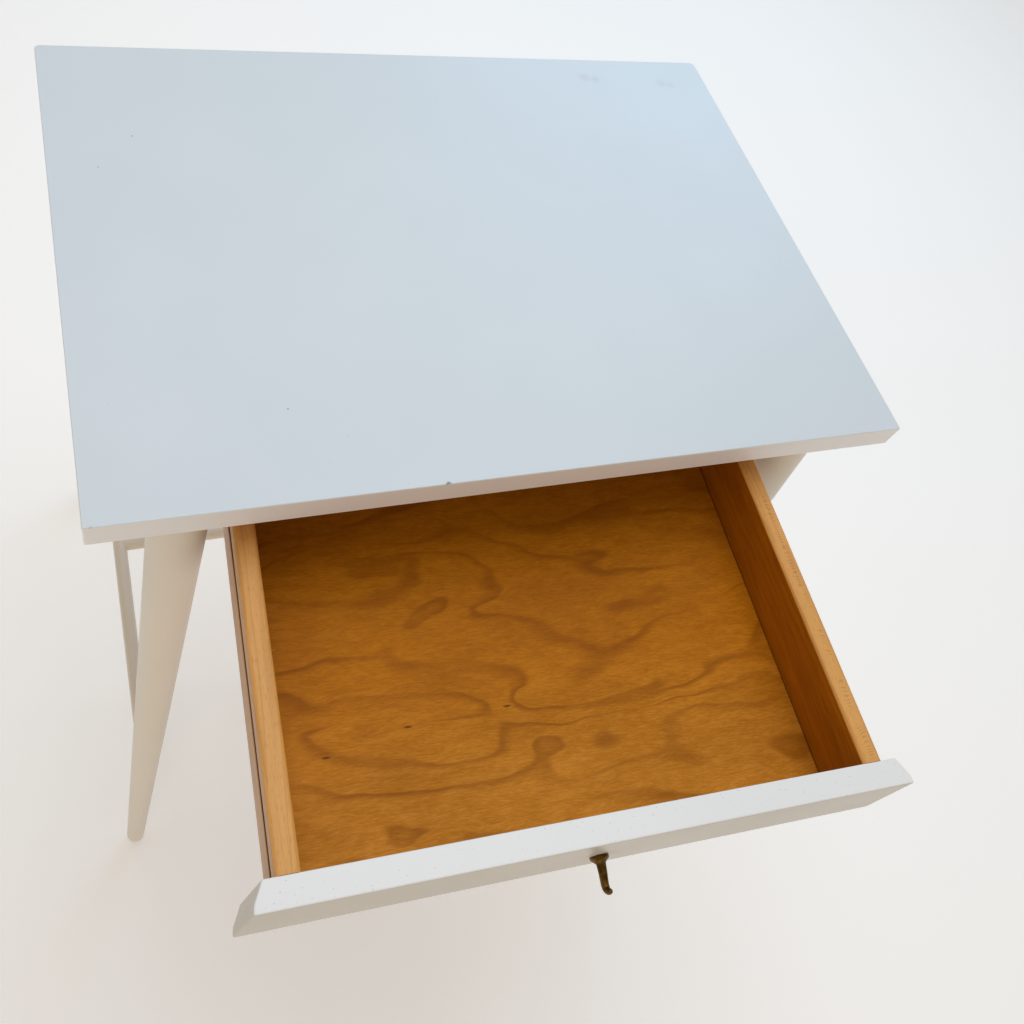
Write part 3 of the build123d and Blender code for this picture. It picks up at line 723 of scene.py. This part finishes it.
def drawer_side_loops(side):
    """Side board with its runner groove outside, bottom groove inside and a top edge dented by wear."""
    outer, inner = BOX_HALF_WIDTH, BOX_HALF_WIDTH - SIDE_THICKNESS
    groove_floor = outer - SIDE_GROOVE_DEPTH
    let_in = inner + BOTTOM_LET_IN
    section = (
        (inner, -BOX_HEIGHT, 0.8), (outer, -BOX_HEIGHT, 0.8),
        (outer, -SIDE_GROOVE_TOP - SIDE_GROOVE_HEIGHT, 0.5),
        (groove_floor, -SIDE_GROOVE_TOP - SIDE_GROOVE_HEIGHT, 0.3),
        (groove_floor, -SIDE_GROOVE_TOP, 0.3), (outer, -SIDE_GROOVE_TOP, 0.5),
        (outer, 0.0, SIDE_TOP_ROUNDING), (inner, 0.0, SIDE_TOP_ROUNDING),
        (inner, -BOTTOM_GROOVE_TOP, 0.2), (let_in, -BOTTOM_GROOVE_TOP, 0.2),
        (let_in, -BOTTOM_GROOVE_TOP - BOTTOM_GROOVE_HEIGHT, 0.2),
        (inner, -BOTTOM_GROOVE_TOP - BOTTOM_GROOVE_HEIGHT, 0.2),
    )
    if side < 0:
        section = [(-out, up, radius) for out, up, radius in reversed(section)]
    outline = eased([Vector((out, up)) for out, up, radius in section], [part[2] for part in section])
    loops = []
    stations = 90
    for step in range(stations + 1):
        along = SIDE_BACK_Y + (FRONT_BACK_Y - SIDE_BACK_Y) * step / stations
        loop = []
        for point in outline:
            near_top = max(0.0, 1 + point.y / SIDE_TOP_ROUNDING)
            wear = 0.22 * (1 + noise.noise(Vector((along / 31, point.x / 6, 4.0 * side)))) / 2
            loop.append(Vector((BOX_OFFSET + point.x, along, DRAWER_TOP + point.y - wear * near_top)))
        loops.append(loop)
    return loops


# ---------------------------------------------------------------- pull

OUTWARD = Vector((0, -1, 0))


def rosette_loops():
    """Flat turned plate with an eased rim and a shallow step round the collar."""
    rim = [
        (0.0, ROSETTE_RADIUS),
        (ROSETTE_THICKNESS - 0.9, ROSETTE_RADIUS),
        (ROSETTE_THICKNESS - 0.45, ROSETTE_RADIUS - 0.12),
        (ROSETTE_THICKNESS - 0.12, ROSETTE_RADIUS - 0.45),
        (ROSETTE_THICKNESS, ROSETTE_RADIUS - 0.9),
        (ROSETTE_THICKNESS, COLLAR_RADIUS - 1.2),
    ]
    return turned_loops(Vector((0, FACE_Y, PULL_Z)), OUTWARD, rim, steps=40)


def smooth_path(sections, steps=6):
    """Curve through every section, with steps between neighbours."""
    knots = [Vector(section) for section in sections]
    knots = [2 * knots[0] - knots[1]] + knots + [2 * knots[-1] - knots[-2]]
    path = []
    for before, start, end, after in zip(knots, knots[1:], knots[2:], knots[3:]):
        for step in range(steps):
            t = step / steps
            path.append(
                start + (end - before) * (t / 2) + (2 * before - 5 * start + 4 * end - after) * (t * t / 2)
                + (3 * start - before - 3 * end + after) * (t ** 3 / 2)
            )
    path.append(knots[-2])
    return path


def hook_loops():
    """Collar that flares from the plate, then a rod that dips, turns up and ends in a round tip."""
    collar_y = FACE_Y - ROSETTE_THICKNESS
    hook_y = collar_y - COLLAR_THICKNESS
    sideways = Vector((1, 0, 0))
    stations = []
    for step in range(7):
        share = step / 6
        radius = COLLAR_RADIUS + (HOOK_SECTIONS[0][2] - COLLAR_RADIUS) * share ** 0.85
        centre = Vector((0, collar_y - COLLAR_THICKNESS * share, PULL_Z))
        stations.append((centre, sideways, OUTWARD.cross(sideways), radius))
    path = smooth_path(HOOK_SECTIONS)
    for index in range(1, len(path)):
        reach, rise, radius = path[index]
        gone = path[min(index + 1, len(path) - 1)] - path[index - 1]
        heading = Vector((0, -gone[0], gone[1])).normalized()
        centre = Vector((0, hook_y - reach, PULL_Z + rise))
        stations.append((centre, sideways, heading.cross(sideways), radius))
    tip, _, upward, radius = stations[-1]
    heading = sideways.cross(upward)
    for step in range(1, 7):
        angle = math.radians(14 * step)
        centre = tip + heading * (radius * math.sin(angle))
        stations.append((centre, sideways, upward, radius * math.cos(angle)))
    return round_loops(stations, steps=32)


# ---------------------------------------------------------------- the finished pieces

add_piece("table_top", top_loops(), TABLE_PLACE, "table", "top_paint", flat_faces=True)
for corner, side, end in (
    ("front_left", -1, -1), ("front_right", 1, -1), ("back_left", -1, 1), ("back_right", 1, 1),
):
    add_piece("leg_" + corner, leg_loops(side, end), TABLE_PLACE, "table", "leg_paint")
for name, axis in (("left", 1), ("right", 1), ("cross", 0)):
    node = "stretcher_" + name
    add_piece(node, stretcher_loops(node, axis), TABLE_PLACE, "table", "leg_paint")
add_piece("drawer_front", drawer_front_loops(), DRAWER_PLACE, "drawer", "front_paint", flat_faces=True)
for name, side in (("left", -1), ("right", 1)):
    add_piece(
        "drawer_side_" + name, drawer_side_loops(side), DRAWER_PLACE, "drawer", "drawer_wood",
        flat_faces=True,
    )
add_piece("pull_rosette", rosette_loops(), DRAWER_PLACE, "drawer", "aged_brass")
add_piece("pull_hook", hook_loops(), DRAWER_PLACE, "drawer", "aged_brass", sharp=60)


# ---------------------------------------------------------------- floor, light and camera

def lamp(name, place, aim, size, power, colour):
    """Large soft area light turned towards a point."""
    data = bpy.data.lights.new(name, "AREA")
    data.shape = "RECTANGLE"
    data.size, data.size_y = size
    data.energy = power
    data.color = colour
    made = bpy.data.objects.new(name, data)
    made.location = place
    made.rotation_euler = (Vector(aim) - Vector(place)).to_track_quat("-Z", "Y").to_euler()
    bpy.context.scene.collection.objects.link(made)


def pale_floor():
    """Wide plain sweep under the table."""
    half = 12.0
    corners = [(-half, -half, 0), (half, -half, 0), (half, half, 0), (-half, half, 0)]
    mesh = bpy.data.meshes.new("floor")
    mesh.from_pydata(corners, [], [(0, 1, 2, 3)])
    floor = bpy.data.objects.new("floor", mesh)
    bpy.context.scene.collection.objects.link(floor)
    s = Shader("pale_floor")
    patches = s.noise(s.place, 0.4, detail=2.0)
    s.finish(s.mix(patches, (0.90, 0.90, 0.90), (0.92, 0.92, 0.92)), 0.8, Specular_IOR_Level=0.1)
    s.surface.inputs["Emission Color"].default_value = (1.0, 0.93, 0.84, 1.0)
    s.surface.inputs["Emission Strength"].default_value = 0.24
    mesh.materials.append(s.material)


pale_floor()
scene = bpy.context.scene
scene.view_settings.view_transform = "Standard"
scene.world = bpy.data.worlds.new("studio")
scene.world.use_nodes = True
background = scene.world.node_tree.nodes["Background"]
background.inputs["Color"].default_value = (1.0, 0.92, 0.82, 1.0)
background.inputs["Strength"].default_value = 0.35

TOP_CENTRE = Vector((0.0, (top_low.y + top_high.y) / 2, top_high.z))
lamp("sky_window", (1.7, 2.2, 2.0), TOP_CENTRE, (1.6, 1.2), 16.0, (0.25, 0.62, 1.0))
lamp("overhead", (0.3, 0.8, 3.0), TOP_CENTRE, (2.4, 2.6), 39.0, (0.88, 0.94, 1.0))
lamp("front_fill", (-1.3, -2.9, 1.5), TOP_CENTRE, (1.6, 1.6), 16.0, (1.0, 0.90, 0.77))

# The camera stands above the front left corner of the top
CAMERA_FROM_CORNER = Vector((0.01289, -0.30496, 0.56306))
CAMERA_TURN = (33.438, -13.443, -15.774)
camera_data = bpy.data.cameras.new("camera")
camera_data.lens = 35.75
camera_data.sensor_width = 36.0
camera_data.shift_x = 0.0495
camera_data.shift_y = -0.0621
camera_data.clip_start = 0.01
camera = bpy.data.objects.new("camera", camera_data)
camera.location = Vector((top_low.x, top_low.y, top_high.z)) + CAMERA_FROM_CORNER
camera.rotation_euler = [math.radians(angle) for angle in CAMERA_TURN]
scene.collection.objects.link(camera)
scene.camera = camera
